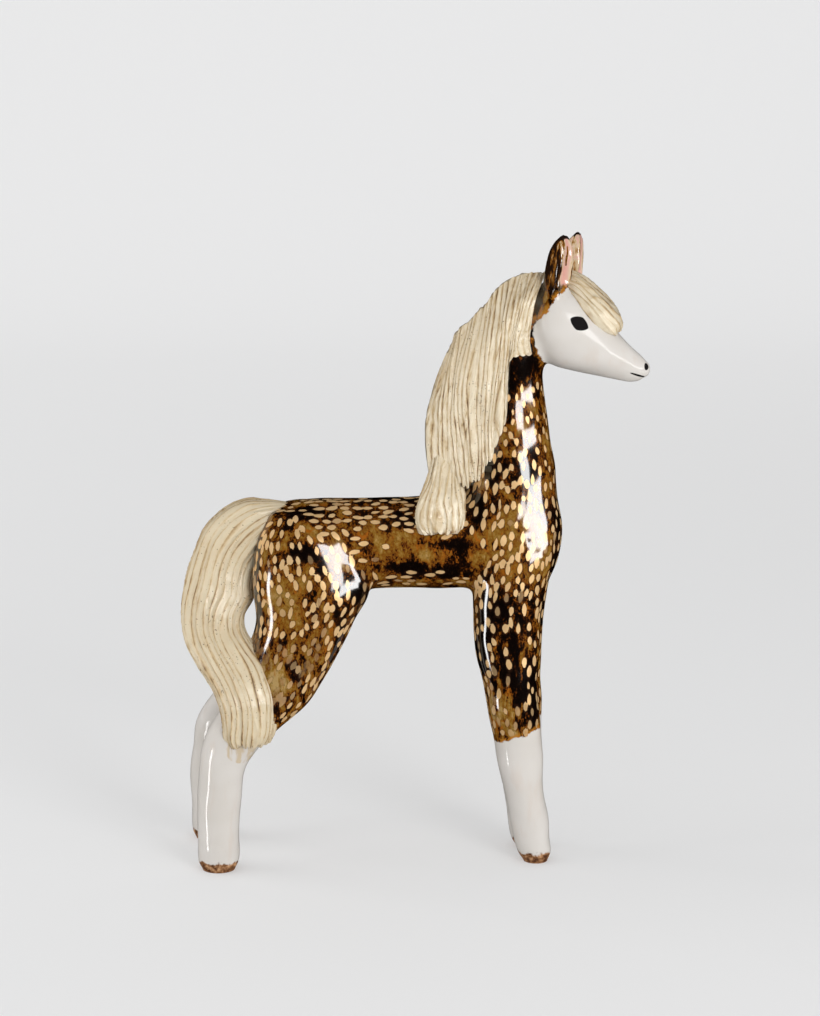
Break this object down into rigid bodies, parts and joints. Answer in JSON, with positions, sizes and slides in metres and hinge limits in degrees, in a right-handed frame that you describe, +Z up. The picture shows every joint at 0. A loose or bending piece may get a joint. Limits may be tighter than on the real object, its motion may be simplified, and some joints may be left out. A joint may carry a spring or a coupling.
{
  "type": "ceramic horse figurine",
  "caption": "Standing glazed ceramic horse with a combed mane, forelock and long tail, gold-dabbed tortoiseshell coat and white face and stockings.",
  "frame": {"origin": "on the ground, below the middle of the figure's bounding box", "axes": "+X the way the head faces, +Z up, -Y the horse's right side, where the tail lies"},
  "size_m": [0.1838, 0.0586, 0.2509],
  "materials": {
    "tortoiseshell_glaze": "glossy brown, amber and black glaze with small dabs of gold lustre",
    "cream_glaze": "thin glossy cream glaze over combed clay, browner in the grooves"
  },
  "bodies": {
    "root": {"horse_figurine": "tortoiseshell_glaze"}
  },
  "joints": []
}
